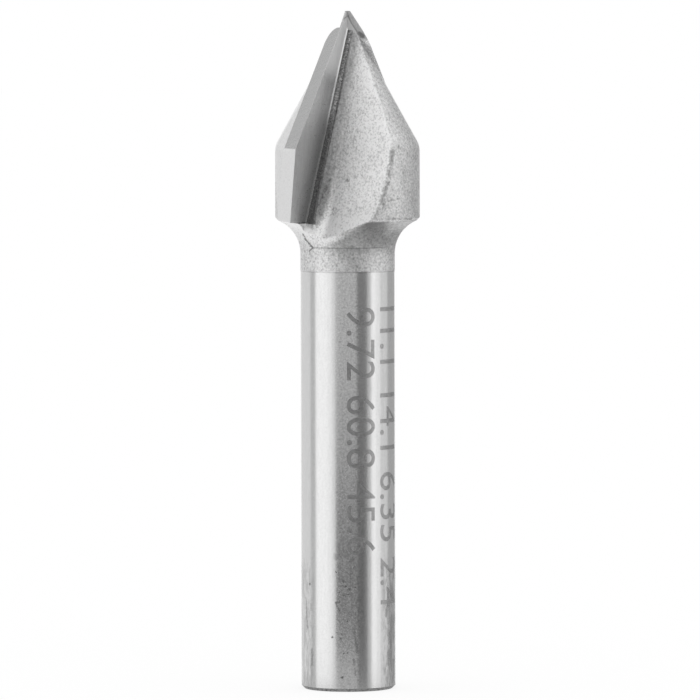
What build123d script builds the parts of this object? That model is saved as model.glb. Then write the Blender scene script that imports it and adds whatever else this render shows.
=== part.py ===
from build123d import *
import os
from math import asin, cos, degrees, radians, sin, sqrt, tan

# V groove router bit: a turned steel body (shank, neck and head in one piece)
# with two brazed carbide tips, half a turn apart, that cut a 60 degree groove.
# Frame: millimetres, origin at the centre of the shank's end face, +Z to the point.
# Each wing is drawn with its cutting edge towards +X and its rake face towards +Y.
# Wing b stays there, and wing a is the same wing turned half a turn.

# Shank, neck and head
shank_diameter = 6.35
shank_chamfer = 0.22
overall_length = 45.6
head_diameter = 9.72
head_lip_width = 0.21
head_lip_height = 0.22
neck_radius = 2.38
head_cone_half_angle = 28.9
head_cone_reach = 0.23
head_corner_radius = 1.5
steel_top_depth = 1.2

# Cutting edges
cutting_diameter = 11.11
vee_angle = 60.8
point_flat = 0.4
carbide_length = 14.07
shear_angle = 5.65
point_web = 0.2

# Carbide plate: its thickness at the point, and the seat it leans back on
carbide_thickness = 1.42
seat_angle = 7.1
inner_edge_depth = 0.8
inner_edge_angle = 14.85
plate_past_step = 0.03
plate_stock = 0.9
nose_past_axis = 0.128
nose_side_angle = 5.9
vee_relief = 38.7
side_relief = 36.0
braze_gap = 0.1
braze_top_depth = 2.4

# Seam where tip b crosses the point and tip a stops under it
seam_depth = 0.45
seam_tilt = 39.0
seam_heading = 118.5

# Shoulder ground into the heel of wing a, which leaves the nose thin
shoulder_depth = 1.1
shoulder_radius = 1.35
shoulder_wall_y = 0.15

# Ground step along the inner side of the rake face
rake_step_radius = 0.12

# Gullet in front of each rake face
gullet_past_axis = 0.55
gullet_slope = 12.8
gullet_lean = 2.4
gullet_shear_angle = 3.8
gullet_corner_radius = 1.0
gullet_runout_height = 1.15
gullet_runout_radius = 8.0
gullet_runout_turn = 50.0
gullet_runout_rise = 0.3

# Working values
shank_radius = shank_diameter / 2
head_radius = head_diameter / 2
cutting_radius = cutting_diameter / 2
tip_z = overall_length
head_bottom_z = tip_z - carbide_length
shear_slope = tan(radians(shear_angle))
reach = cutting_diameter
clear = 2.0


def rake_y(depth):
    """Place of the rake plane across the wing, at a depth below the point."""
    return point_web / 2 - shear_slope * depth


def inner_x(depth):
    """Inner side of the rake face, at a depth below the point."""
    return (depth - inner_edge_depth) * tan(radians(inner_edge_angle))


def tilted_plane(y, angle):
    """Plane that faces the turn of the bit and leans back as it goes down."""
    tilt = radians(angle)
    return Plane(origin=(0, y, tip_z), x_dir=(1, 0, 0), z_dir=(0, cos(tilt), -sin(tilt)))


def on_tilted(x, depth, angle=shear_angle):
    """A point of a tilted plane's own sketch, whose second axis runs down the plane."""
    return (x, depth / cos(radians(angle)))


# The rake plane holds both cutting edges. The seat plane carries the back of the
# carbide, and the gullet plane is the side of the raw gullet.
rake_plane = tilted_plane(point_web / 2, shear_angle)
seat_plane = tilted_plane(point_web / 2 - carbide_thickness, seat_angle)
gullet_plane = tilted_plane(point_web / 2, gullet_shear_angle)

# Ends of the two cutting edges: the point, the corner of the V and the foot.
vee_height = (cutting_radius - point_flat / 2) / tan(radians(vee_angle / 2))
point_end = Vector(point_flat / 2, rake_y(0), tip_z)
corner_end = Vector(
    sqrt(cutting_radius**2 - rake_y(vee_height) ** 2), rake_y(vee_height), tip_z - vee_height
)
foot_end = Vector(
    sqrt(cutting_radius**2 - rake_y(carbide_length) ** 2), rake_y(carbide_length), head_bottom_z
)


def relief_plane(start, end, relief):
    """Flat flank through a cutting edge, which falls away behind the edge."""
    back = Vector(-tan(radians(relief)), -1, 0)
    return Plane(origin=start, x_dir=back, z_dir=back.cross(end - start))


vee_flank = relief_plane(point_end, corner_end, vee_relief)
side_flank = relief_plane(corner_end, foot_end, side_relief)


def nose_x(depth):
    """Inner side of the carbide near the point, where it reaches past the axis."""
    return depth * tan(radians(nose_side_angle)) - nose_past_axis


def plate_x(depth):
    """Inner side of the carbide below the nose, just inside the ground step."""
    return inner_x(depth) - rake_step_radius - plate_past_step


def plate_blank(gap):
    """Carbide plate before it is ground, grown by a gap where it is brazed in."""
    side_gap = gap / cos(radians(inner_edge_angle))
    closing = tan(radians(inner_edge_angle)) - tan(radians(nose_side_angle))
    meet_depth = (nose_x(0) - plate_x(0)) / closing
    foot_depth = carbide_length + gap
    with BuildPart() as blank:
        with BuildSketch(rake_plane):
            with BuildLine():
                Polyline(
                    on_tilted(nose_x(-clear) - side_gap, -clear),
                    on_tilted(nose_x(meet_depth) - side_gap, meet_depth),
                    on_tilted(plate_x(foot_depth) - side_gap, foot_depth),
                    on_tilted(reach, foot_depth),
                    on_tilted(reach, -clear),
                    close=True,
                )
            make_face()
        extrude(amount=clear, both=True)
        split(bisect_by=seat_plane.offset(-gap), keep=Keep.TOP)
        split(bisect_by=rake_plane.offset(plate_stock), keep=Keep.BOTTOM)
    return blank.part


# Cutter for the raw gullet: its floor slopes outward down the bit and runs out
# through the neck in an arc, which starts higher away from the rake wall. The corner
# between floor and wall is round.
floor_slope = tan(radians(gullet_slope))
runout_depth = carbide_length - gullet_runout_height
with BuildPart() as gullet:
    with BuildSketch(gullet_plane):
        with BuildLine():
            top_x = -gullet_past_axis - floor_slope * clear
            turn_x = -gullet_past_axis + floor_slope * runout_depth
            top = Vector(*on_tilted(top_x, -clear, gullet_shear_angle))
            turn = Vector(*on_tilted(turn_x, runout_depth, gullet_shear_angle))
            floor_line = Line(top, turn)
            runout = JernArc(turn, floor_line % 1, gullet_runout_radius, -gullet_runout_turn)
            foot = Line(runout @ 1, runout @ 1 + (runout % 1) * reach)
            Polyline(foot @ 1, ((foot @ 1).X, top.Y), top)
        make_face()
    lean = radians(gullet_lean)
    up_the_floor = Vector(-floor_slope, tan(radians(gullet_shear_angle)), 1)
    away = Vector(sin(lean), cos(lean), 0) + up_the_floor * gullet_runout_rise
    extrude(amount=reach, dir=away)
    rake_side = gullet.faces().sort_by(Axis((0, 0, 0), gullet_plane.z_dir))[0]
    floor_edges = rake_side.edges().sort_by(Axis.X)[:-1].sort_by(Axis.Z)[:-1]
    fillet(floor_edges, radius=gullet_corner_radius)

# Cutter for the rake face: a wheel ground it flat and left a round step inside it.
step_foot = carbide_length + clear
with BuildPart() as rake_grind:
    with BuildSketch(rake_plane):
        with BuildLine():
            Polyline(
                on_tilted(inner_x(-clear) - rake_step_radius, -clear),
                on_tilted(inner_x(step_foot) - rake_step_radius, step_foot),
                on_tilted(reach, step_foot),
                on_tilted(reach, -clear),
                close=True,
            )
        make_face()
    extrude(amount=reach)
    wheel_side = rake_grind.faces().sort_by(Axis((0, 0, 0), rake_plane.z_dir))[0]
    fillet(wheel_side.edges().sort_by(Axis.X)[0], radius=rake_step_radius)

# Cutter for the heel of wing a: a wheel crossed it close behind the point, so the
# nose is thin there and the heel starts lower down with a round shoulder. The
# shoulder's foot lies on the seat plane.
shelf_z = tip_z - shoulder_depth
seat_foot = tan(radians(seat_angle)) * (shoulder_depth + shoulder_radius)
shelf_y = carbide_thickness - point_web / 2 + seat_foot - shoulder_radius
with BuildPart() as heel_grind:
    with BuildSketch(Plane.YZ):
        with BuildLine():
            shoulder = CenterArc((shelf_y, shelf_z - shoulder_radius), shoulder_radius, 90, -90)
            Polyline(
                shoulder @ 0,
                (shoulder_wall_y, shelf_z),
                (shoulder_wall_y, tip_z + clear),
                (reach, tip_z + clear),
                (reach, shelf_z - shoulder_radius),
                shoulder @ 1,
            )
        make_face()
    extrude(amount=reach, both=True)

# One whole wing of carbide, ground on its face, its top, its V flank and its side flank.
with BuildPart() as wing_carbide:
    add(plate_blank(0))
    split(bisect_by=Plane.XY.offset(tip_z), keep=Keep.BOTTOM)
    split(bisect_by=vee_flank, keep=Keep.BOTTOM)
    split(bisect_by=side_flank, keep=Keep.BOTTOM)
    add(gullet.part, mode=Mode.SUBTRACT)
    add(rake_grind.part, mode=Mode.SUBTRACT)

# Pocket in the steel that takes the plate and its braze, which stops short of the point.
with BuildPart() as wing_pocket:
    add(plate_blank(braze_gap))
    split(bisect_by=Plane.XY.offset(tip_z - braze_top_depth), keep=Keep.BOTTOM)
    add(plate_blank(0))

# Steel body as it is turned, with its neck arc tangent to the shank.
lip_x = head_radius - head_lip_width
neck_drop = sqrt(neck_radius**2 - (neck_radius - lip_x + shank_radius) ** 2)
neck_z = head_bottom_z - neck_drop
cone_slope = tan(radians(head_cone_half_angle))
cone_z = tip_z - head_cone_reach
steel_top_z = tip_z - steel_top_depth
steel_top_x = (cone_z - steel_top_z) * cone_slope
with BuildPart() as steel_blank:
    with BuildSketch(Plane.XZ) as turned_half:
        with BuildLine():
            Polyline(
                (0, steel_top_z),
                (0, 0),
                (shank_radius - shank_chamfer, 0),
                (shank_radius, shank_chamfer),
                (shank_radius, neck_z),
            )
            neck = CenterArc(
                (shank_radius + neck_radius, neck_z),
                neck_radius,
                180,
                -degrees(asin(neck_drop / neck_radius)),
            )
            Polyline(
                neck @ 1,
                (head_radius, head_bottom_z + head_lip_height),
                (head_radius, cone_z - head_radius / cone_slope),
                (steel_top_x, steel_top_z),
                (0, steel_top_z),
            )
        make_face()
        head_corner = turned_half.vertices().group_by(Axis.X)[-1].sort_by(Axis.Y)[-1]
        fillet(head_corner, radius=head_corner_radius)
    revolve(axis=Axis.Z)
    for flank in (vee_flank, side_flank):
        half_turn = Location((0, 0, 0), (0, 0, 180))
        split(bisect_by=flank, keep=Keep.BOTTOM)
        split(bisect_by=Plane(half_turn * flank.location), keep=Keep.BOTTOM)
    with PolarLocations(0, 2):
        add(gullet.part, mode=Mode.SUBTRACT)
        add(rake_grind.part, mode=Mode.SUBTRACT)
    add(heel_grind.part, mode=Mode.SUBTRACT)

# Finished body: the turned blank with a pocket for each plate.
with BuildPart() as body:
    add(steel_blank.part)
    with PolarLocations(0, 2):
        add(wing_pocket.part, mode=Mode.SUBTRACT)

# Tip b crosses the point, so it takes what wing a has above the seam.
seam_side = sin(radians(seam_tilt))
seam_plane = Plane(
    origin=(0, 0, tip_z - seam_depth),
    z_dir=(
        seam_side * cos(radians(seam_heading)),
        seam_side * sin(radians(seam_heading)),
        cos(radians(seam_tilt)),
    ),
)
with BuildPart() as wing_a:
    add(wing_carbide.part.rotate(Axis.Z, 180))
    add(heel_grind.part, mode=Mode.SUBTRACT)

with BuildPart() as nose:
    add(wing_a.part)
    split(bisect_by=seam_plane, keep=Keep.TOP)

with BuildPart() as carbide_tip_b:
    add(wing_carbide.part)
    add(nose.part)

with BuildPart() as carbide_tip_a:
    add(wing_a.part)
    split(bisect_by=seam_plane, keep=Keep.BOTTOM)
    add(carbide_tip_b.part, mode=Mode.SUBTRACT)

# Braze fills what the plates leave of their pockets.
with BuildPart() as braze_seam_b:
    add(steel_blank.part)
    add(wing_pocket.part, mode=Mode.INTERSECT)
    add(carbide_tip_b.part, mode=Mode.SUBTRACT)
    add(carbide_tip_a.part, mode=Mode.SUBTRACT)

with BuildPart() as braze_seam_a:
    add(steel_blank.part)
    add(wing_pocket.part.rotate(Axis.Z, 180), mode=Mode.INTERSECT)
    add(carbide_tip_b.part, mode=Mode.SUBTRACT)
    add(carbide_tip_a.part, mode=Mode.SUBTRACT)
    add(braze_seam_b.part, mode=Mode.SUBTRACT)

body.part.label = "body"
carbide_tip_a.part.label = "carbide_tip_a"
carbide_tip_b.part.label = "carbide_tip_b"
braze_seam_a.part.label = "braze_seam_a"
braze_seam_b.part.label = "braze_seam_b"

os.makedirs("parts", exist_ok=True)
export_step(body.part, "parts/body.step")
export_step(carbide_tip_a.part, "parts/carbide_tip_a.step")
export_step(carbide_tip_b.part, "parts/carbide_tip_b.step")
export_step(braze_seam_a.part, "parts/braze_seam_a.step")
export_step(braze_seam_b.part, "parts/braze_seam_b.step")
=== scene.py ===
# %% [markdown]
# # A v groove router bit in ground and blasted steel
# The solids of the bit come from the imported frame: one steel body, two carbide tips and the
# braze that holds them. This lesson gives each of them its real finish, adds the small marks
# that a used bit carries, and photographs it on a pale table.
# Blender's lengths are metres, and the bit is drawn in millimetres, so MM turns one into the other.

# %% Load the frame
import math

import bmesh
import bpy
from mathutils import Matrix, Vector


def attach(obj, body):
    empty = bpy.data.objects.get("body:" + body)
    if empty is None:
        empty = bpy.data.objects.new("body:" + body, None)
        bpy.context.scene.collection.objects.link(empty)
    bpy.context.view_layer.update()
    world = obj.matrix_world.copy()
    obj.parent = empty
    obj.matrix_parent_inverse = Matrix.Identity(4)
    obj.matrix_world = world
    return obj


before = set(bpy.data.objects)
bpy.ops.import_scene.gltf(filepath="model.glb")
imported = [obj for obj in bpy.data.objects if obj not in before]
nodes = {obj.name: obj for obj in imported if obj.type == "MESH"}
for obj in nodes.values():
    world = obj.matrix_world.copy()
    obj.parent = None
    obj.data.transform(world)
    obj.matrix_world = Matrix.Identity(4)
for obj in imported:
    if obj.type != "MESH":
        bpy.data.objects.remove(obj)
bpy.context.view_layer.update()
MM = 0.001
print("solids:", sorted(nodes))

# %% [markdown]
# ## Where the camera stands
# The photograph was taken with a long lens, a little above the middle of the bit, so the end of
# the shank shows as a shallow arc and the point is seen almost level. A camera that stands far
# away with a narrow view gives the same flat perspective. It circles the bit to the side where
# one cutting edge comes forward on the left. The bit leans by a hair in the picture, and that is
# a roll of the camera, because the bit itself stands straight.

# %% Camera
CAMERA_TURN = math.radians(-60.0)
CAMERA_RISE = math.radians(3.4)
CAMERA_ROLL = math.radians(-0.13)
CAMERA_DISTANCE = 535 * MM
CAMERA_LENS = 408.9
AIM_HEIGHT = 22.8 * MM
AIM_SIDE = 0.146 * MM


def camera_back(turn, rise):
    """Direction from the bit to a camera at this turn and rise."""
    level = math.cos(rise)
    return Vector((math.sin(turn) * level, -math.cos(turn) * level, math.sin(rise)))


back = camera_back(CAMERA_TURN, CAMERA_RISE)
right = Vector((0, 0, 1)).cross(back).normalized()
up = back.cross(right)
aim = Vector((0, 0, AIM_HEIGHT)) + right * AIM_SIDE
camera_data = bpy.data.cameras.new("camera")
camera_data.lens = CAMERA_LENS
camera_data.sensor_width = 36
camera_data.clip_start = 0.02
camera_data.clip_end = 20
camera = bpy.data.objects.new("camera", camera_data)
bpy.context.scene.collection.objects.link(camera)
camera.rotation_mode = "QUATERNION"
facing = back.to_track_quat("Z", "Y").to_matrix()
camera.rotation_quaternion = (facing @ Matrix.Rotation(CAMERA_ROLL, 3, "Z")).to_quaternion()
camera.location = aim + back * CAMERA_DISTANCE
bpy.context.scene.camera = camera
print("camera stands at mm:", [round(v / MM, 1) for v in camera.location])

# %% [markdown]
# ## A class for shader maths
# A finish is worked out from the place of each point on the piece, and written with nodes that
# would be long sums of Math nodes. A small class wraps a node's output, so that an expression
# such as 1 - mask adds its own Math nodes and reads like the sum it stands for.

# %% Values that vary over a surface
class Value:
    """A number that varies over the surface. Sums and products of it add Math nodes."""

    def __init__(self, tree, socket):
        self.tree = tree
        self.socket = socket

    def math(self, operation, *terms):
        node = self.tree.nodes.new("ShaderNodeMath")
        node.operation = operation
        for place, term in zip(node.inputs, terms):
            if isinstance(term, Value):
                self.tree.links.new(term.socket, place)
            else:
                place.default_value = term
        return Value(self.tree, node.outputs[0])

    def __add__(self, other):
        return self.math("ADD", self, other)

    def __sub__(self, other):
        return self.math("SUBTRACT", self, other)

    def __rsub__(self, other):
        return self.math("SUBTRACT", other, self)

    def __mul__(self, other):
        return self.math("MULTIPLY", self, other)

    __radd__ = __add__
    __rmul__ = __mul__

    def at_most(self, other):
        return self.math("MINIMUM", self, other)

    def at_least(self, other):
        return self.math("MAXIMUM", self, other)

    def power(self, exponent):
        return self.math("POWER", self, exponent)

    def fade(self, low, high):
        """0 where the value is at low, 1 where it is at high, and smooth between them."""
        node = self.tree.nodes.new("ShaderNodeMapRange")
        node.interpolation_type = "SMOOTHSTEP"
        self.tree.links.new(self.socket, node.inputs["Value"])
        flip = high < low
        node.inputs["From Min"].default_value = high if flip else low
        node.inputs["From Max"].default_value = low if flip else high
        node.inputs["To Min"].default_value = 1.0 if flip else 0.0
        node.inputs["To Max"].default_value = 0.0 if flip else 1.0
        return Value(self.tree, node.outputs["Result"])


def between(first, second, mask):
    """The first value where the mask is 0, the second where it is 1."""
    return first + (second - first) * mask


def strongest(masks):
    """Several masks as one: the strongest of them at each point."""
    joined = masks[0]
    for mask in masks[1:]:
        joined = joined.at_least(mask)
    return joined


# %% [markdown]
# A finish is one material. It knows the place of each point in millimetres, which keeps the
# grain sizes readable. It also knows that place as the camera sees it, across and up the picture,
# because the marks of use were measured there. Nodes could be added by hand in the shader editor
# instead, but a hundred of them are easier to read and to change as a few lines of sums.
# One method adds any node that isn't a sum.

# %% One finish, its place values and its nodes
class Finish:
    """A material under construction."""

    def __init__(self, name):
        self.material = bpy.data.materials.new(name)
        self.material.use_nodes = True
        self.tree = self.material.node_tree
        self.shader = self.tree.nodes["Principled BSDF"]
        place = self.node("ShaderNodeTexCoord")["Object"]
        self.place = self.vector("SCALE", place, Scale=1 / MM)
        axes = self.node("ShaderNodeSeparateXYZ", sockets={"Vector": self.place})
        self.x, self.y, self.z = [Value(self.tree, axes[axis]) for axis in "XYZ"]
        self.across = self.vector("DOT_PRODUCT", self.place, right)
        self.rise = self.vector("DOT_PRODUCT", self.place, up)
        self.toward = self.vector("DOT_PRODUCT", self.place, back)
        self.picture = self.join(self.across, self.rise, 0.0)

    def node(self, kind, settings=None, sockets=None):
        """Any node: its settings first, then the values or links of its sockets."""
        node = self.tree.nodes.new(kind)
        for name, value in (settings or {}).items():
            setattr(node, name, value)
        for name, value in (sockets or {}).items():
            self.feed(node.inputs[name], value)
        return node.outputs

    def feed(self, place, value):
        """Link a value to a socket, or set a plain number there."""
        if isinstance(value, Value):
            self.tree.links.new(value.socket, place)
        elif isinstance(value, bpy.types.NodeSocket):
            self.tree.links.new(value, place)
        else:
            place.default_value = value

    def join(self, x, y, z):
        return self.node("ShaderNodeCombineXYZ", sockets={"X": x, "Y": y, "Z": z})["Vector"]

    def vector(self, operation, first, second=None, **sockets):
        """Vector Math: the result is a vector socket, or a Value where it is one number."""
        outs = self.node("ShaderNodeVectorMath", {"operation": operation}, sockets)
        maths = outs[0].node
        self.feed(maths.inputs[0], first)
        if second is not None:
            self.feed(maths.inputs[1], second)
        if operation in ("DOT_PRODUCT", "DISTANCE"):
            return Value(self.tree, outs["Value"])
        return outs["Vector"]

    def noise(self, place, scale, detail=2.0, roughness=0.5):
        """Cloudy noise from 0 to 1, with this many waves for each unit of the place."""
        shape = {"Vector": place, "Scale": scale, "Detail": detail, "Roughness": roughness}
        return Value(self.tree, self.node("ShaderNodeTexNoise", sockets=shape)["Fac"])

    def stretched(self, waves, detail, roughness=0.5):
        """Noise from 0 to 1 with its own number of waves a millimetre along x, y and z."""
        return self.noise(self.vector("MULTIPLY", self.place, waves), 1.0, detail, roughness)

    def plane(self, normal, through):
        """Signed distance in millimetres from a plane."""
        unit = Vector(normal).normalized()
        return self.vector("DOT_PRODUCT", self.place, unit) - unit.dot(Vector(through))

    def bump(self, height, distance, under=None):
        """Normal that this height in millimetres gives, on top of another bump."""
        sockets = {"Height": height, "Strength": 1.0, "Distance": distance * MM}
        if under is not None:
            sockets["Normal"] = under
        return self.node("ShaderNodeBump", sockets=sockets)["Normal"]

    def colour(self, tone):
        """Set the base colour to a grey of this tone."""
        channels = {"Red": tone, "Green": tone, "Blue": tone}
        colour = self.node("ShaderNodeCombineColor", sockets=channels)["Color"]
        self.set(Base_Color=colour)

    def set(self, **sockets):
        for name, value in sockets.items():
            self.feed(self.shader.inputs[name.replace("_", " ")], value)

    def dress(self, *pieces):
        for piece in pieces:
            piece.data.materials.clear()
            piece.data.materials.append(self.material)
        print(self.material.name, "nodes:", len(self.tree.nodes))


# %% [markdown]
# ## Marks drawn on the picture
# Cracks, pits and scratches are too shallow to be shapes. Each is drawn as a spot or a stroke at
# its place across and up the picture, in millimetres, and its edge is soft because a real one is
# rounded by use. They could be painted on an image that is wrapped round the bit, but a mark that
# is only numbers is easy to move, and it stays sharp from near by.
# On the steel the place is shaken a little first, so that no mark has a clean edge.

# %% Spots, strokes and paths
SOFT = 0.04


class Pen:
    """Draws marks of a finish at places across and up the picture."""

    def __init__(self, finish, shake=0.0, waves=6.0):
        self.finish = finish
        self.page = finish.picture
        if shake:
            noise = {"Vector": finish.place, "Scale": waves}
            colour = finish.node("ShaderNodeTexNoise", sockets=noise)["Color"]
            centred = finish.vector("SUBTRACT", colour, (0.5, 0.5, 0.5))
            shaken = finish.vector("MULTIPLY", centred, (shake, shake, 0.0))
            self.page = finish.vector("ADD", finish.picture, shaken)

    def spot(self, centre, radius, soft=SOFT):
        """1 on a small round mark."""
        gap = self.finish.vector("DISTANCE", self.page, Vector((*centre, 0)))
        return gap.fade(radius + soft, radius)

    def stroke(self, start, end, width, soft=SOFT):
        """1 on a straight mark from start to end."""
        first = Vector((*start, 0))
        reach = Vector((*end, 0)) - first
        offset = self.finish.vector("SUBTRACT", self.page, first)
        along = self.finish.vector("DOT_PRODUCT", offset, reach) * (1 / reach.length_squared)
        held = along.at_least(0.0).at_most(1.0)
        nearest = self.finish.vector("SCALE", reach, Scale=held)
        gap = self.finish.vector("DISTANCE", offset, nearest)
        return gap.fade(width / 2 + soft, width / 2)

    def path(self, points, width, soft=SOFT):
        """1 on a mark that runs through several points."""
        pairs = zip(points, points[1:])
        return strongest([self.stroke(start, end, width, soft) for start, end in pairs])

    def strokes(self, lines):
        """Several strokes as one mask. Each line is a start, an end, a width and a softness."""
        return strongest([self.stroke(*line) for line in lines])


# %% [markdown]
# ## Where the wheels went
# Three kinds of ground surface meet on each wing, and the finishes need to know them apart: the
# rake face in front, the flanks outside, and the wall of the gullet. Each is a plane through two
# or three measured points of the bit. Each face of the mesh could have its own material instead,
# but then a finish could only change at an edge, and here it fades a little beside it.
# Wing b's planes are written down, and wing a's are the same planes after half a turn about the
# axis, which changes the sign of x and y.

# %% Planes of one wing
POINT_END = Vector((0.2, 0.1, 45.6))
CORNER_END = Vector((5.497, -0.803, 36.47))
FOOT_END = Vector((5.403, -1.292, 31.53))
VEE_BACK = Vector((-math.tan(math.radians(38.7)), -1, 0))
SIDE_BACK = Vector((-math.tan(math.radians(36.0)), -1, 0))
VEE_NORMAL = VEE_BACK.cross(CORNER_END - POINT_END)
SIDE_NORMAL = SIDE_BACK.cross(FOOT_END - CORNER_END)
RAKE_NORMAL = Vector((0, 1, -math.tan(math.radians(5.65))))
GULLET_NORMAL = Vector((0, 1, -math.tan(math.radians(3.8))))


def half_turn(vector):
    return Vector((-vector.x, -vector.y, vector.z))


def both_wings(finish, normal, through):
    """Distances from one plane of wing a and the same plane of wing b."""
    wing_a = finish.plane(half_turn(normal), half_turn(through))
    return wing_a, finish.plane(normal, through)


def wall_distance(finish):
    """Distance in front of the gullet wall on whichever wing the point belongs to."""
    wall_a, wall_b = both_wings(finish, GULLET_NORMAL, POINT_END)
    on_wing_b = (finish.x * 0.3 + finish.y * 0.95).fade(-0.05, 0.05)
    return between(wall_a, wall_b, on_wing_b)


print("V flank faces", [round(v, 2) for v in VEE_NORMAL.normalized()])

# %% [markdown]
# ## Steel
# The body is one turned piece with two finishes. The shank is ground to size and mirrors the
# room in soft bands. The neck, the head and the gullets were blasted with grit after brazing,
# so they are matt and full of fine speckles. The change lies at one height on the neck. One
# material could be laid on each part of the body by its faces, but the two finishes meet along a
# ragged line that no edge of the solid follows, so one material holds both and a mask parts them.

# %% The steel and its coarse noises
GROUND_TOP = 28.2
HEAD_FOOT = 31.6

steel = Finish("steel_ground_and_blasted")
steel_pen = Pen(steel, shake=0.2)
steel_front = steel.toward.fade(0.0, 0.8)
ragged = steel.noise(steel.place, 3.0, 3.0)
grit = steel.noise(steel.place, 7.0, 2.0, 0.6) - 0.5
specks = steel.noise(steel.place, 3.2, 3.0, 0.75).fade(0.6, 0.74)
blasted = (steel.z + ragged * 0.12).fade(GROUND_TOP, GROUND_TOP + 0.12)
print("ground up to mm:", GROUND_TOP)

# %% [markdown]
# Grit leaves pale and dark speckles of several sizes. The corner between the gullet's floor and
# its wall is darkened with painted shade, where less light falls, most of all low down where the
# corner is narrow. The turned outside of the head is a little darker too.
# The pits of a blast are hundredths of a millimetre deep, far too small to model. Noises of
# several sizes in the tone, and the finest of them in the bump, give the same broken shine.

# %% Blasted skin
HEAD_RADIUS = 4.86
CONE_POINT = 45.37
CONE_SLOPE = math.tan(math.radians(28.9))


def blasted_skin():
    """Tone of the blasted steel before its shades and marks."""
    clusters = steel.noise(steel.place, 3.6, 1.0) - 0.5
    clouds = steel.noise(steel.place, 0.9, 3.0) - 0.5
    tone = 0.83 + steel.z.fade(HEAD_FOOT - 1.1, HEAD_FOOT - 0.1) * 0.06
    return tone + grit * 1.3 + (clusters + clouds) * 0.3 - specks * 0.16


def gullet_corner_painted_shade():
    """How much darker painted shade makes the corner of each gullet."""
    gap = wall_distance(steel)
    narrowing = gap * (1.0 + (34.5 - steel.z).at_least(0.0) * 0.2)
    corner = narrowing.fade(1.35, 0.55) * gap.fade(-0.4, -0.25) * steel.z.fade(30.8, 31.7)
    low_corner = corner * gap.fade(0.85, 0.6) * steel.z.fade(35.8, 33.8)
    return corner * 0.45 + low_corner * 0.08


def turned_outside(radius):
    """1 on the cylinder and the cone that the lathe left on the head."""
    turned = ((CONE_POINT - steel.z) * CONE_SLOPE).at_most(HEAD_RADIUS)
    return (radius - turned).fade(-0.2, -0.05) * steel.z.fade(HEAD_FOOT - 0.1, HEAD_FOOT + 0.1)


axis_distance = (steel.x * steel.x + steel.y * steel.y).power(0.5)
# The corner of each gullet is darkened with painted shade.
blast_tone = blasted_skin() * (1 - gullet_corner_painted_shade())
blast_tone = blast_tone * (1 - turned_outside(axis_distance) * 0.11)
print("nodes for the blasted skin:", len(steel.tree.nodes))

# %% [markdown]
# The head overhangs the neck in a hollow arc, and less light falls in there. A darker card below
# could shade it, but it would darken the shank as well, so the shade is painted on the arc itself,
# with soft ends. It stops where the gullet runs out through the neck, because that cut lies open
# to the light, and there the steel is painted a little paler as light.
# The strip behind each flank was ground together with the carbide, so it is bright and smooth.

# %% Shade under the head, and the ground strips
ARC_CENTRE_OUT = 5.555
ARC_CENTRE_UP = 29.33
ARC_RADIUS = 2.42


def below_run_out():
    """1 to the lower right of the line where the visible gullet leaves the neck."""
    return (steel.across * 0.561 - steel.rise * 0.828 + 25.42).fade(-0.2, 0.4)


def under_head():
    """1 on the hollow arc, less at its right end."""
    out = (axis_distance - ARC_CENTRE_OUT).power(2.0)
    above = (steel.z - ARC_CENTRE_UP).power(2.0)
    arc_distance = (out + above).power(0.5)
    heights = steel.z.fade(28.9, 30.4) * steel.z.fade(HEAD_FOOT + 0.06, HEAD_FOOT - 0.04)
    hollow = heights * arc_distance.fade(ARC_RADIUS + 0.1, ARC_RADIUS)
    return hollow * (1 - steel.across.fade(2.2, 3.2) * 0.5)


def ground_strip():
    """1 on the strips of steel that were ground in line with the flanks."""
    vee_a, vee_b = both_wings(steel, VEE_NORMAL, POINT_END)
    side_a, side_b = both_wings(steel, SIDE_NORMAL, FOOT_END)
    outermost = strongest([vee_a, vee_b, side_a, side_b])
    return outermost.fade(-0.4, -0.25) * steel.z.fade(HEAD_FOOT - 0.2, HEAD_FOOT)


below = below_run_out()
shade = under_head() * below * (0.4 + steel.across.fade(0.3, 1.8) * 0.24)
# Painted light: where the gullet runs out through the neck, the steel is made paler.
run_out = steel.z.fade(29.9, 30.4) * steel.z.fade(32.2, 31.4) * (1 - below)
strip = ground_strip()
blast_tone = blast_tone * (1 - shade + run_out * 0.2)
blast_tone = between(blast_tone, 0.93 + grit * 0.35, strip)
print("nodes with the shades:", len(steel.tree.nodes))

# %% [markdown]
# A used bit carries marks. On the neck there is a crack that forks, and a fine line from the
# lathe. On the head there are a burr beside the wall, a ridge where the gullet meets the outside
# and a pale lip above it. A dark wedge beside the point is drawn with them. They are drawn only
# on the side that faces the camera, because nothing is known of the marks behind.

# %% Marks on the neck and the head
TURNED_LINE = 29.8
CRACK = [(-2.98, 30.53), (-2.78, 30.13), (-2.33, 29.62), (-2.55, 29.39)]
BURR = [(-1.17, 34.16), (-1.71, 32.82), (-2.31, 31.81)]
GULLET_LIP = [(1.48, 41.44), (1.95, 39.93), (2.36, 38.89), (2.58, 37.72), (2.93, 36.68)]
RIDGE = [(2.98, 36.04), (2.84, 34.9), (2.64, 33.97), (2.37, 33.04), (2.24, 32.3)]
HEAD_SCRATCH = ((2.71, 32.71), (3.58, 32.91), 0.04, 0.1)
HEAD_EDGE_LINE = ((2.37, 31.49), (4.3, 31.52), 0.05, 0.08)
HEAD_PIT = (0.0, 34.08)
DARK_WEDGE = ((0.8, 44.0), (1.05, 43.8), 0.14, 0.12)


def turned_line():
    """1 on the lathe's line, which fades out at both sides of the neck."""
    height = steel.z.fade(TURNED_LINE - 0.06, TURNED_LINE - 0.01)
    height = height * steel.z.fade(TURNED_LINE + 0.06, TURNED_LINE + 0.01)
    return height * steel.across.fade(-2.45, -2.2) * steel.across.fade(2.6, 2.2)


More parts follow.
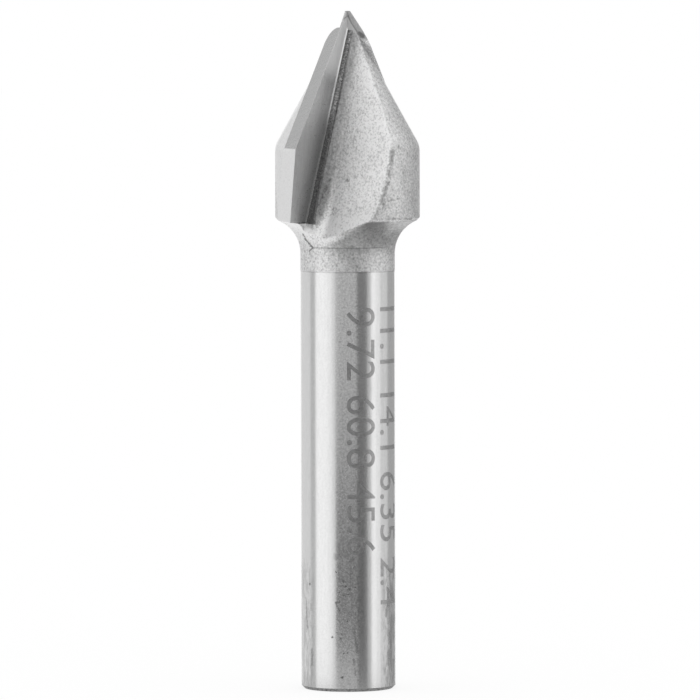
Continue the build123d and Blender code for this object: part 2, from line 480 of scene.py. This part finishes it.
def head_damage(patchy):
    """How much darker the marks of the neck and the head are."""
    faint = strongest([
        steel_pen.path(BURR, 0.04, 0.12),
        steel_pen.path(RIDGE, 0.12, 0.22),
        steel_pen.stroke(*HEAD_SCRATCH),
        steel_pen.stroke(*HEAD_EDGE_LINE),
        steel_pen.spot(HEAD_PIT, 0.07, 0.1),
    ])
    return steel_front * strongest([
        steel_pen.path(CRACK, 0.03, 0.05) * 0.65,
        steel_pen.stroke(*DARK_WEDGE) * 0.5,
        faint * patchy * 0.42,
        turned_line() * 0.4,
    ])


patchy = ragged.fade(0.35, 0.6)
damage = head_damage(patchy)
lip = steel_pen.path(GULLET_LIP, 0.05, 0.1) * patchy * steel_front * blasted
blast_tone = blast_tone * (1 - damage) + lip * 0.35
print("nodes with the head's marks:", len(steel.tree.nodes))

# %% [markdown]
# The shank was held in a collet. Its middle has a cluster of small pits, short slits and a dark
# streak, and both edges are rubbed low down where the collet's jaws slipped. Pits and slits are
# whole, but streaks and rubbed patches are broken up by a noise that is stretched along the
# shank, as a slip is.

# %% Wear on the shank
PIT_SOFT = 0.07
SHANK_PITS = [
    (-0.78, 7.87, 0.04), (-0.35, 7.27, 0.08), (-0.18, 6.91, 0.05), (0.08, 6.71, 0.05),
    (0.46, 6.84, 0.04), (-0.6, 6.49, 0.03), (-0.06, 4.6, 0.03), (-0.75, 3.81, 0.02),
    (-0.47, 3.71, 0.03), (-1.08, 3.5, 0.04), (-0.51, 3.43, 0.03), (-0.32, 2.43, 0.03),
    (-0.07, 2.45, 0.02), (-0.43, 0.8, 0.05), (-2.57, 7.04, 0.04), (-0.6, 5.3, 0.05),
]
SHANK_SLITS = [
    ((-0.35, 6.31), (0.06, 6.36), 0.07, SOFT),
    ((-0.83, 5.82), (-0.56, 5.87), 0.12, SOFT),
    ((-0.8, 5.75), (-0.6, 5.35), 0.04, 0.08),
]
LONG_STREAK = [(0.2, 6.4), (0.22, 5.7), (0.29, 4.6), (0.45, 3.5), (0.59, 2.56)]
SHORT_STREAKS = [
    ((0.26, 8.7), (0.2, 7.0), 0.14, 0.15),
    ((0.35, 2.0), (0.42, 1.0), 0.05, 0.12),
    ((-2.81, 6.13), (-2.78, 3.85), 0.03, 0.08),
    ((-2.51, 6.2), (-2.51, 5.27), 0.03, 0.08),
    ((-2.45, 2.66), (-2.45, 1.58), 0.04, 0.1),
    ((2.61, 6.86), (2.61, 6.46), 0.05, 0.1),
    ((2.54, 5.66), (2.54, 4.85), 0.05, 0.1),
    ((2.85, 3.16), (2.85, 2.75), 0.06, 0.1),
    ((3.06, 1.93), (3.05, 1.46), 0.06, 0.1),
]
SMUDGES = [
    ((-0.75, 8.9), (-0.15, 9.05), 0.12, 0.3),
    ((-0.12, 9.05), (0.0, 8.75), 0.08, 0.1),
]


def rubbed_edges(streaky):
    """1 on the rubbed patches, which the collet left on the lower third of the shank."""
    low = steel.z.fade(9.5, 7.5)
    right_edge = steel.across.fade(2.1, 2.5) * low
    left_edge = steel.across.fade(-2.2, -2.5) * low
    return (right_edge + left_edge * 0.6) * streaky.fade(0.4, 0.62)


def shank_wear():
    """How much darker the marks of the shank are."""
    streaky = steel.stretched((3.0, 3.0, 0.9), 4.0, 0.65)
    pits = strongest([steel_pen.spot((x, y), size, PIT_SOFT) for x, y, size in SHANK_PITS])
    streaks = steel_pen.path(LONG_STREAK, 0.05, 0.14).at_least(steel_pen.strokes(SHORT_STREAKS))
    return steel_front * strongest([
        pits * 0.66,
        steel_pen.strokes(SHANK_SLITS) * 0.6,
        streaks * streaky.fade(0.35, 0.55) * 0.45,
        rubbed_edges(streaky) * 0.38,
        steel_pen.strokes(SMUDGES) * streaky.fade(0.3, 0.5) * 0.3,
    ])


wear = shank_wear()
print("nodes with the shank's marks:", len(steel.tree.nodes))

# %% [markdown]
# Grinding leaves a fine grain with a little direction, and the grain stands out most along the
# middle of the front. It sits in the tone, with a little in the roughness and a very low bump: a
# higher bump would break up the soft bands that make the shank look ground.
# The chamfer at the shank's end was only turned, so it is rougher and speckled. A thin dark line
# shows where the wheel stopped against the blasted neck.
# All the marks together could leave the range of real metal, so the last tone is kept between
# that of soot and that of a clean mirror.

# %% Ground shank
CHAMFER_TOP = 0.2
DARKEST = 0.03
PALEST = 0.98

fine = steel.noise(steel.place, 7.5, 3.0, 0.65) - 0.5
brushed = steel.stretched((5.0, 5.0, 1.2), 3.0, 0.6) - 0.5
chamfer = steel.z.fade(CHAMFER_TOP + 0.04, CHAMFER_TOP - 0.02)


def ground_shank():
    """Tone of the ground shank with its wear, its chamfer and the wheel's last line."""
    middle = steel.across.fade(-0.9, -0.5) * steel.across.fade(1.0, 0.6) * steel_front
    tone = 0.85 + fine * (0.16 + middle * 0.7) + brushed * 0.12
    wheel_line = steel.z.fade(GROUND_TOP - 0.1, GROUND_TOP - 0.02) * (1 - blasted)
    tone = tone * (1 - wear) * (1 - wheel_line * 0.35)
    return between(tone, 0.8 + grit * 2.0, chamfer)


ground_rough = 0.19 + fine * 0.1 + wear * 0.2 + chamfer * 0.15
blast_rough = 0.45 + grit * 0.3 - strip * 0.1
ground_bump = steel.bump(fine + brushed * 0.6 - wear * 2, 0.0016)
blast_height = (grit - specks * 0.3 - damage) * blasted * (1 - strip * 0.7)
steel_tone = between(ground_shank(), blast_tone, blasted)
steel.colour(steel_tone.at_least(DARKEST).at_most(PALEST))
steel.set(Metallic=1.0, Roughness=between(ground_rough, blast_rough, blasted))
steel.set(Normal=steel.bump(blast_height, 0.035, under=ground_bump))
steel.dress(nodes["body"])

# %% [markdown]
# ## Carbide
# The tips are sintered carbide, harder and darker than the steel. Each face is ground with a
# diamond wheel, which leaves fine straight lines: upright ones on the rake face and slanting
# ones on the V flank. The straight flank was left a little rougher and looks pale. The wheel
# that ground the rake face left a small round step along its inner side. Its wall is painted
# black as shade low down and is roughened by the grit near the point, and its fillet has a
# painted highlight high up and painted shade low down. The top of the rake face is painted paler
# as a reflection. Mirror-bright metal can't look that pale in this room, so these painted pale
# parts are frosted, which here means less metallic and rougher.

# %% Faces of a tip
class Tip:
    """One tip's finish under construction. Tip a's planes are tip b's after half a turn."""

    def __init__(self, name, turned):
        self.finish = Finish(name)
        self.pen = Pen(self.finish)
        self.front = self.finish.toward.fade(-0.3, 0.1)
        flip = half_turn if turned else Vector
        self.depth = self.finish.plane(flip(RAKE_NORMAL), flip(POINT_END))
        self.on_rake = self.depth.fade(-0.04, -0.015)
        self.step = self.depth.fade(0.06, 0.1)
        self.straight = self.finish.z.fade(CORNER_END.z + 0.05, CORNER_END.z - 0.05)
        # Painted reflection: the top of the rake face is painted paler.
        self.pale_top_painted_reflection = (self.finish.z + self.finish.across * 0.5).fade(40.2, 41.9)

        self.grain = self.finish.noise(self.finish.place, 9.0, 2.0, 0.6) - 0.5
        self.upright = self.finish.stretched((7.0, 7.0, 0.5), 2.0) - 0.5
        slant = self.finish.vector("DOT_PRODUCT", self.finish.place, right * -0.45 + up * 0.89)
        lines = self.finish.noise(self.finish.join(slant, 0.0, 0.0), 4.5, 1.0)
        self.slanting = lines - 0.5

    def flank_tone(self):
        """Tone of the V flank above the corner and of the straight flank below it."""
        return between(0.52 + self.slanting * 0.1, 0.96 + self.grain * 0.3, self.straight)

    def rake_tone(self):
        """Tone of the rake face, its top painted paler as a reflection, and the wheel's step and
        fillet with painted shade and highlight.
        """
        height = self.finish.z
        # Painted reflection: the rake face is painted paler toward the top, and paler still on its
        # top.
        tone = 0.58 + self.upright * 0.16 + height.fade(36.8, 39.5) * 0.2
        tone = between(tone, 0.62 + self.upright * 0.1, self.pale_top_painted_reflection)
        # Painted light on the fillet: shade low down, a highlight high up.
        fillet = self.depth.fade(0.004, 0.02) * (1 - self.step)
        tone = between(tone, 0.28 + height.fade(37.6, 39.6) * 0.66, fillet)
        # Painted shade darkens the step's wall, less so near the point, where grit roughened it.
        gritty = self.depth.fade(0.15, 0.3) * height.fade(37.5, 39.5)
        step_shade = 0.64 - gritty * 0.26 - self.grain * (0.8 + gritty * 1.6)
        return tone * (1 - self.step * step_shade)


# %% [markdown]
# Only tip b reaches the point. From the front the point shows a pale cap, a dark line that runs
# down to a dark wedge, and a darker cap behind that line. Below the caps its back shows grit.
# The solid is one flat point there, so the caps are told apart by a height and by a slanting line
# across the picture.

# %% The point, and both tips
NOSE_SEAM = [(0.04, 45.16), (-0.41, 44.9), (-0.44, 44.75)]
NOSE_LINE = [(0.06, 45.19), (0.3, 44.69), (0.93, 43.71)]


def point_tone(tip, tone, nose):
    """The tone of tip b where its back and its point show from the front."""
    finish = tip.finish
    behind = (finish.across + finish.rise * 0.59).fade(26.7, 26.78)
    nose_tone = 0.5 + tip.slanting * 0.08 - behind * (0.13 - tip.grain * 0.3)
    tone = between(tone, 0.8 + tip.grain * 1.2, tip.front * finish.z.fade(43.9, 43.6))
    return between(tone, nose_tone, nose)


def carbide_finish(name, turned):
    tip = Tip(name, turned)
    tone = between(tip.flank_tone(), tip.rake_tone(), tip.on_rake)
    frost = (tip.pale_top_painted_reflection * 0.85 + 0.15) * tip.on_rake * (1 - tip.step)
    if not turned:
        frost = tip.front * tip.finish.z.fade(43.5, 43.9)
        tone = point_tone(tip, tone, frost)
    marks = strongest([
        tip.pen.path(NOSE_SEAM, 0.01, 0.035) * 0.3,
        tip.pen.path(NOSE_LINE, 0.05, 0.05) * 0.5,
        tip.pen.stroke(*DARK_WEDGE) * 0.6,
    ])
    rough = 0.26 + tip.grain * 0.1 + tip.straight * (1 - tip.on_rake) * 0.14
    wheel_lines = tip.upright * tip.on_rake + tip.slanting * 0.5 * (1 - tip.on_rake)
    tone = tone * (1 - marks * tip.front)
    tip.finish.colour(tone.at_least(DARKEST).at_most(PALEST))
    tip.finish.set(Metallic=1 - frost * 0.8, Roughness=rough + frost * 0.2)
    tip.finish.set(Normal=tip.finish.bump(wheel_lines + tip.grain * 0.3, 0.003))
    return tip.finish


carbide_finish("carbide_ground_a", True).dress(nodes["carbide_tip_a"])
carbide_finish("carbide_ground_b", False).dress(nodes["carbide_tip_b"])

# %% [markdown]
# ## Braze
# Silver solder holds each tip. It was blasted and ground along with the steel, so it only shows
# as a dull line. Beside the gullet's wall and where it opens at the foot of the carbide it is
# darkened with painted shade. The imported seams already have the right form, and real solder
# could get flow lines and drops, but the blast took those off, so one grain and two places of
# painted shade are enough.

# %% Braze of the seams
def braze_finish():
    braze = Finish("braze_silver")
    grain = braze.noise(braze.place, 7.0, 2.0, 0.6) - 0.5
    gap = wall_distance(braze)
    wall_painted_shade = gap.fade(-0.3, -0.1) * gap.fade(0.6, 0.3)
    breaks = braze.noise(braze.place, 1.7, 1.0).fade(0.35, 0.5)
    open_foot_gap_and_shade = braze.z.fade(HEAD_FOOT, HEAD_FOOT - 0.1) * breaks
    # Painted shade: the braze is darker beside the gullet's wall and in the open gap at the
    # carbide's foot.
    tone = (0.85 + grain * 0.5 - wall_painted_shade * 0.62) * (1 - open_foot_gap_and_shade * 0.75)
    braze.colour(tone.at_least(DARKEST))
    braze.set(Metallic=1.0, Roughness=0.45 + grain * 0.2)
    braze.set(Normal=braze.bump(grain - open_foot_gap_and_shade, 0.02))
    return braze


braze_finish().dress(nodes["braze_seam_a"], nodes["braze_seam_b"])

# %% [markdown]
# ## Numbers on the shank
# A bit like this one carries its sizes, burnt into the shank with a laser. These are plain sizes
# in millimetres and degrees. A picture of the text could be laid on, but a mesh keeps its edge
# at any distance. Each row is a text that is made a mesh, cut across into narrow strips so that
# it can bend, and laid round the shank as a skin a few thousandths thick.

# %% Flat text, cut into strips
NUMBER_STRIPS = 12


def flat_text(name, text):
    """A bmesh of the text, a slab with its lower edge along x."""
    writing = bpy.data.curves.new(name, "FONT")
    writing.body = text
    writing.extrude = 0.5
    source = bpy.data.objects.new(name + "_source", writing)
    bpy.context.scene.collection.objects.link(source)
    shown = source.evaluated_get(bpy.context.evaluated_depsgraph_get())
    flat = bpy.data.meshes.new_from_object(shown)
    bpy.data.objects.remove(source)
    mesh = bmesh.new()
    mesh.from_mesh(flat)
    bmesh.ops.remove_doubles(mesh, verts=mesh.verts, dist=0.0001)
    return mesh


def corners(mesh):
    """Lowest and highest x, y and z of a bmesh."""
    axes = [[vert.co[axis] for vert in mesh.verts] for axis in range(3)]
    return [min(axis) for axis in axes], [max(axis) for axis in axes]


def cut_strips(mesh):
    low, high = corners(mesh)
    for cut in range(1, NUMBER_STRIPS):
        height = low[1] + (high[1] - low[1]) * cut / NUMBER_STRIPS
        everything = [*mesh.verts, *mesh.edges, *mesh.faces]
        bmesh.ops.bisect_plane(
            mesh, geom=everything, plane_co=(0, height, 0), plane_no=(0, 1, 0)
        )


# %% [markdown]
# Bending moves each corner of the slab to its angle and height on the shank. The text's length
# runs down the shank and its height runs round it. A Simple Deform modifier could bend the slab
# too, but a sum for each corner says exactly how far the skin stands out of the steel.

# %% Rows bent round the shank
SHANK_RADIUS = 3.175
NUMBER_HEIGHT = 2.0
NUMBER_TOP = 25.8
SKIN = 0.005


def number_row(name, text, turn, length):
    """A row down the shank, its middle at this turn to the right of the camera."""
    mesh = flat_text(name, text)
    cut_strips(mesh)
    low, high = corners(mesh)
    start = math.atan2(back.y, back.x) + math.radians(turn)
    for vert in mesh.verts:
        shares = [(vert.co[axis] - low[axis]) / (high[axis] - low[axis]) for axis in range(3)]
        down, over, out = shares
        angle = start + (over - 0.5) * NUMBER_HEIGHT / SHANK_RADIUS
        radius = SHANK_RADIUS - SKIN + 2 * SKIN * out
        height = NUMBER_TOP - down * length
        vert.co = Vector((math.cos(angle) * radius, math.sin(angle) * radius, height)) * MM
    bmesh.ops.recalc_face_normals(mesh, faces=mesh.faces)
    return place_piece(name, mesh)


def place_piece(name, mesh):
    """A new object with this bmesh as its mesh, at the origin."""
    data = bpy.data.meshes.new(name)
    mesh.to_mesh(data)
    mesh.free()
    piece = bpy.data.objects.new(name, data)
    bpy.context.scene.collection.objects.link(piece)
    print(name, "faces:", len(data.polygons))
    return piece


number_rows = [
    number_row("shank_numbers_front", "9.72 60.8 45.6", 16.5, 16.6),
    number_row("shank_numbers_right", "11.1 14.1 6.35 2.4", 61.0, 20.2),
]
for row in number_rows:
    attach(row, "root")

# %% [markdown]
# The laser leaves dull grey steel, grainy and a little uneven along the row. Black paint would be
# simpler, but burnt steel is still metal, so it goes paler and darker with the room as the bit
# turns.

# %% Burnt steel
burnt = Finish("steel_burnt")
burnt_grain = burnt.noise(burnt.place, 8.0, 2.0, 0.6) - 0.5
burnt_patches = burnt.noise(burnt.place, 1.6, 2.0) - 0.5
burnt.colour(0.48 + burnt_grain * 0.4 + burnt_patches * 0.25)
burnt.set(Metallic=1.0, Roughness=0.4 + burnt_grain * 0.2)
burnt.set(Normal=burnt.bump(burnt_grain, 0.01))
burnt.dress(*number_rows)

# %% [markdown]
# ## The studio
# A bright ring of white surrounds the bit, so polished steel shows white unless something darker
# stands in the way. Real product photographers set grey and black cards round a bit for that
# reason, and the soft vertical bands on a ground shank are their reflections. The cards here are
# curved strips that stand round the bit. The camera doesn't see them, only the steel does.
# An angle on a card is counted from the camera, to the right as the camera sees it.

# %% White room
world = bpy.data.worlds.new("white_room")
bpy.context.scene.world = world
world.use_nodes = True
sky = world.node_tree.nodes["Background"]
sky.inputs["Color"].default_value = (1.0, 1.0, 1.0, 1.0)
sky.inputs["Strength"].default_value = 1.0
print("room strength:", sky.inputs["Strength"].default_value)

# %% [markdown]
# A card is a short line that is spun about the axis: an upright line gives a standing card, and
# a level line gives a flat ring that lies just under the table top. Its material only glows, at
# the card's own level of grey.

# %% Cards
CARD_RADIUS = 0.25
CARD_LOW = -0.16
CARD_HIGH = 0.2
UNDER_TABLE = -2 * MM
CARD_STEP = 3


def glow_material(name, level):
    """A material that gives off grey light of this level."""
    glow = bpy.data.materials.new(name)
    glow.use_nodes = True
    tree = glow.node_tree
    tree.nodes.clear()
    light = tree.nodes.new("ShaderNodeEmission")
    light.inputs["Color"].default_value = (level, level, level, 1.0)
    out = tree.nodes.new("ShaderNodeOutputMaterial")
    tree.links.new(light.outputs[0], out.inputs["Surface"])
    return glow


def spun_card(name, start, end, level, line):
    """Card from one angle to another. Its line is two pairs of radius and height."""
    mesh = bmesh.new()
    turn = math.atan2(back.y, back.x) + math.radians(start)
    outward = Vector((math.cos(turn), math.sin(turn), 0))
    ends = [mesh.verts.new(outward * radius + Vector((0, 0, z))) for radius, z in line]
    edge = mesh.edges.new(ends)
    steps = max(4, int(abs(end - start) / CARD_STEP))
    bmesh.ops.spin(
        mesh, geom=[edge, *ends], cent=(0, 0, 0), axis=(0, 0, 1), dvec=(0, 0, 0),
        angle=math.radians(end - start), steps=steps,
    )
    piece = place_piece(name, mesh)
    piece.data.materials.append(glow_material(name, level))
    piece.visible_camera = False
    piece.visible_diffuse = False


def standing_card(name, start, end, level):
    spun_card(name, start, end, level, [(CARD_RADIUS, CARD_LOW), (CARD_RADIUS, CARD_HIGH)])


def low_card(name, start, end, inner, outer, level):
    spun_card(name, start, end, level, [(inner, UNDER_TABLE), (outer, UNDER_TABLE)])


standing_card("card_left_slot", -104, -86, 0.5)
standing_card("card_left_rear", -160, -104, 0.72)
standing_card("card_left_edge", -50, -40, 0.93)
standing_card("card_left_inner", -40, -31, 0.76)
standing_card("card_front_edge", -31, -22, 0.52)
standing_card("card_front", -22, 22, 0.48)
standing_card("card_dark", 22, 48, 0.2)
standing_card("card_dark_edge", 48, 58, 0.5)
standing_card("card_right_near", 72, 86, 0.86)
standing_card("card_right_mid", 86, 113, 0.66)
standing_card("card_right", 113, 160, 0.4)
low_card("card_foot", 0, 360, 0.001, 0.006, 0.24)
low_card("card_under", 0, 360, 0.006, 0.021, 0.42)
low_card("card_before", -30, 40, 0.05, 0.2, 0.1)

# %% [markdown]
# The table is a pale round top. The camera sees it as white paper with the bit's soft shadow.
# A matt top alone would turn grey away from the bit, so for the camera most of it glows white
# and the rest stays matt, which keeps the shadow.

# %% Table top
FLOOR_RADIUS = 1.5
FLOOR_GLOW = 0.8


def white_paper():
    """Matt white that glows where the camera looks at it."""
    paper = bpy.data.materials.new("white_paper")
    paper.use_nodes = True
    tree = paper.node_tree
    tree.nodes.clear()
    matt = tree.nodes.new("ShaderNodeBsdfDiffuse")
    matt.inputs["Color"].default_value = (1.0, 1.0, 1.0, 1.0)
    glow = tree.nodes.new("ShaderNodeEmission")
    rays = tree.nodes.new("ShaderNodeLightPath").outputs
    seen = Value(tree, rays["Is Camera Ray"]) + Value(tree, rays["Is Glossy Ray"])
    seen = (seen + Value(tree, rays["Is Transmission Ray"])).at_most(1.0)
    blend = tree.nodes.new("ShaderNodeMixShader")
    out = tree.nodes.new("ShaderNodeOutputMaterial")
    tree.links.new((seen * FLOOR_GLOW).socket, blend.inputs[0])
    tree.links.new(matt.outputs[0], blend.inputs[1])
    tree.links.new(glow.outputs[0], blend.inputs[2])
    tree.links.new(blend.outputs[0], out.inputs["Surface"])
    return paper


top_mesh = bmesh.new()
bmesh.ops.create_circle(top_mesh, cap_ends=True, radius=FLOOR_RADIUS, segments=96)
table_top = place_piece("table_top", top_mesh)
table_top.data.materials.append(white_paper())
table_top.visible_glossy = False
bpy.context.scene.view_settings.view_transform = "Standard"
